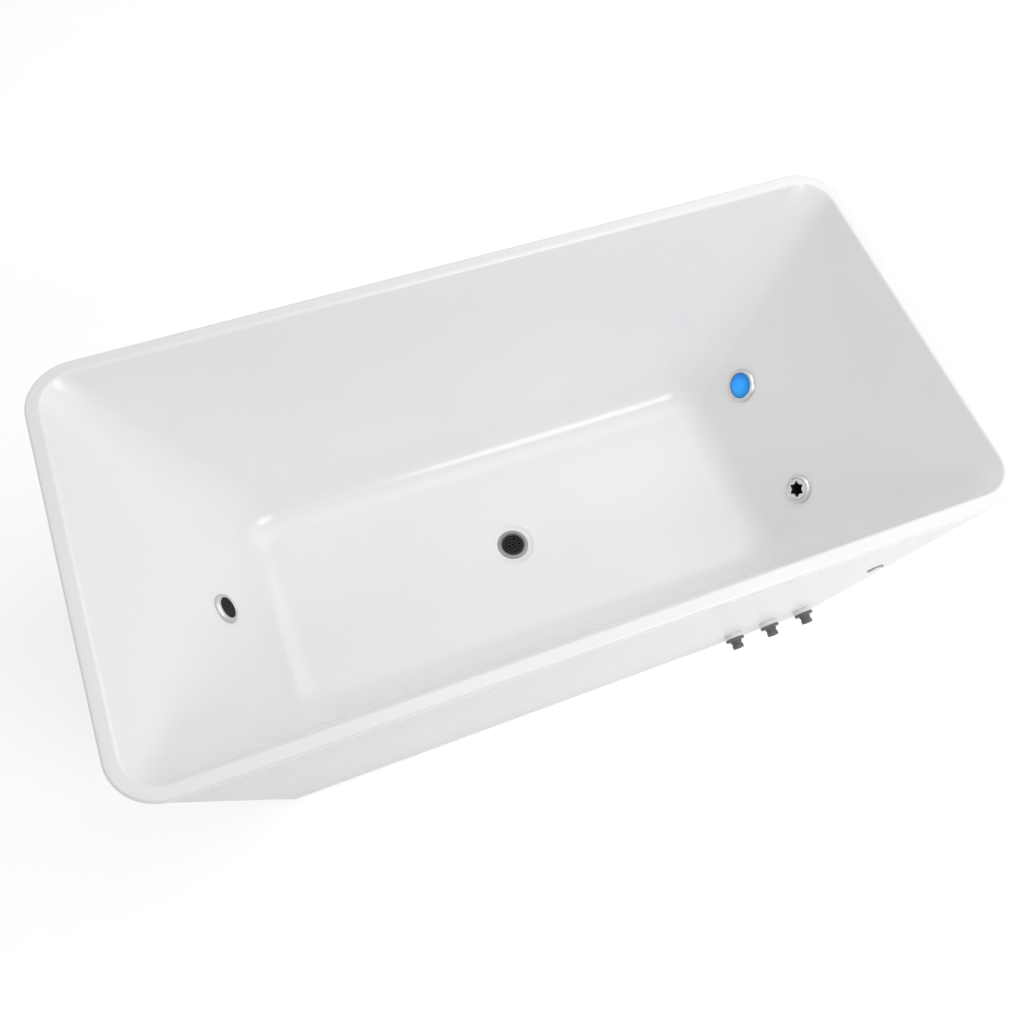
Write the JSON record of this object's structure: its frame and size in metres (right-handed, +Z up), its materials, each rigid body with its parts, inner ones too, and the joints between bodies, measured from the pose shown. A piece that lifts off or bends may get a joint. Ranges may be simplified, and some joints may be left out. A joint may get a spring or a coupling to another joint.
{
  "type": "cold plunge tub",
  "caption": "Free-standing tapered plunge tub with a flat rim, floor drain, suction port, star-faced jet, blue light and valved hose connectors on a levelling frame.",
  "frame": {"origin": "on the floor under the middle of the tub, midway along its length and width", "axes": "+X along the tub towards the end with the jet and the light, +Y towards the long side without connectors, +Z up"},
  "size_m": [1.7, 0.84, 0.6],
  "materials": {
    "acrylic": "gloss",
    "board": "matte",
    "foam": "matte",
    "frame_steel": "satin",
    "timber": "matte",
    "zinc_steel": "satin",
    "foot_nylon": "matte",
    "satin_metal": "satin",
    "polished_metal": "polished",
    "black_plastic": "satin",
    "grey_plastic": "satin",
    "gasket": "matte",
    "light_lens": "gloss",
    "circuit": "satin",
    "driver_case": "matte",
    "cable_sheath": "matte",
    "button_ring": "satin",
    "button_metal": "satin",
    "connector_plastic": "satin",
    "collar_plastic": "satin",
    "poppet_plastic": "satin",
    "spring_steel": "satin",
    "hose": "satin"
  },
  "bodies": {
    "tub": {"basin_shell": "acrylic", "outer_skirt": "acrylic", "baseboard": "board", "side_insulation": "foam", "end_insulation": "foam", "frame_side_rails": "frame_steel", "frame_end_rails": "frame_steel", "frame_bearers": "frame_steel", "foot_plates": "frame_steel", "skirt_blocks": "timber", "block_screws": "zinc_steel", "foot_lock_nuts": "zinc_steel", "drain_flange": "satin_metal", "drain_strainer": "black_plastic", "drain_gasket": "gasket", "drain_body": "grey_plastic", "suction_bezel": "satin_metal", "suction_grille": "black_plastic", "suction_body": "grey_plastic", "jet_bezel": "polished_metal", "jet_nozzle": "black_plastic", "jet_body": "grey_plastic", "port_gaskets": "gasket", "port_nuts": "grey_plastic", "light_bezel": "polished_metal", "light_lens": "light_lens", "light_gasket": "gasket", "light_housing": "grey_plastic", "light_nut": "grey_plastic", "light_board": "circuit", "light_driver": "driver_case", "light_cable": "cable_sheath", "button_cable": "cable_sheath", "button_bezel": "button_ring", "button_spring": "spring_steel", "button_base": "black_plastic", "button_nut": "button_metal", "connector_bodies": "connector_plastic", "connector_collars": "collar_plastic", "connector_gaskets": "gasket", "connector_nuts": "button_metal", "valve_guides": "grey_plastic", "valve_spring_drain": "spring_steel", "valve_spring_suction": "spring_steel", "valve_spring_return": "spring_steel", "hose_elbows": "grey_plastic", "drain_hose": "hose", "suction_hose": "hose", "return_hose": "hose", "hose_clamps": "zinc_steel", "hose_saddles": "grey_plastic"},
    "poppet_drain": {"poppet_drain": "poppet_plastic"},
    "poppet_suction": {"poppet_suction": "poppet_plastic"},
    "poppet_return": {"poppet_return": "poppet_plastic"},
    "button_cap": {"button_cap": "button_metal"},
    "jet_face": {"jet_face": "polished_metal"},
    "foot_front_left": {"foot_front_left": "foot_nylon"},
    "foot_front_right": {"foot_front_right": "foot_nylon"},
    "foot_back_left": {"foot_back_left": "foot_nylon"},
    "foot_back_right": {"foot_back_right": "foot_nylon"}
  },
  "joints": [
    {"name": "valve_drain_push", "type": "slide", "parent": "tub", "child": "poppet_drain", "axis": [0, 0.9949, 0.1005], "range_m": [0, 0.006], "stiffness_N_per_m": 400, "springref_m": -0.005, "deforming": ["valve_spring_drain"]},
    {"name": "valve_suction_push", "type": "slide", "parent": "tub", "child": "poppet_suction", "axis": [0, 0.9949, 0.1005], "range_m": [0, 0.006], "stiffness_N_per_m": 400, "springref_m": -0.005, "deforming": ["valve_spring_suction"]},
    {"name": "valve_return_push", "type": "slide", "parent": "tub", "child": "poppet_return", "axis": [0, 0.9949, 0.1005], "range_m": [0, 0.006], "stiffness_N_per_m": 400, "springref_m": -0.005, "deforming": ["valve_spring_return"]},
    {"name": "light_button_press", "type": "slide", "parent": "tub", "child": "button_cap", "axis": [0, 0.9949, 0.1005], "range_m": [0, 0.0025], "stiffness_N_per_m": 600, "springref_m": -0.003, "deforming": ["button_spring"]},
    {"name": "jet_throttle_turn", "type": "hinge", "parent": "tub", "child": "jet_face", "pos_m": [0.62692, -0.14028, 0.23], "axis": [-0.8846, 0, 0.4664], "range_deg": [0, 30]},
    {"name": "level_front_left", "type": "slide", "parent": "tub", "child": "foot_front_left", "axis": [0, 0, -1], "range_m": [-0.004, 0.015]},
    {"name": "level_front_right", "type": "slide", "parent": "tub", "child": "foot_front_right", "axis": [0, 0, -1], "range_m": [-0.004, 0.015]},
    {"name": "level_back_left", "type": "slide", "parent": "tub", "child": "foot_back_left", "axis": [0, 0, -1], "range_m": [-0.004, 0.015]},
    {"name": "level_back_right", "type": "slide", "parent": "tub", "child": "foot_back_right", "axis": [0, 0, -1], "range_m": [-0.004, 0.015]}
  ]
}
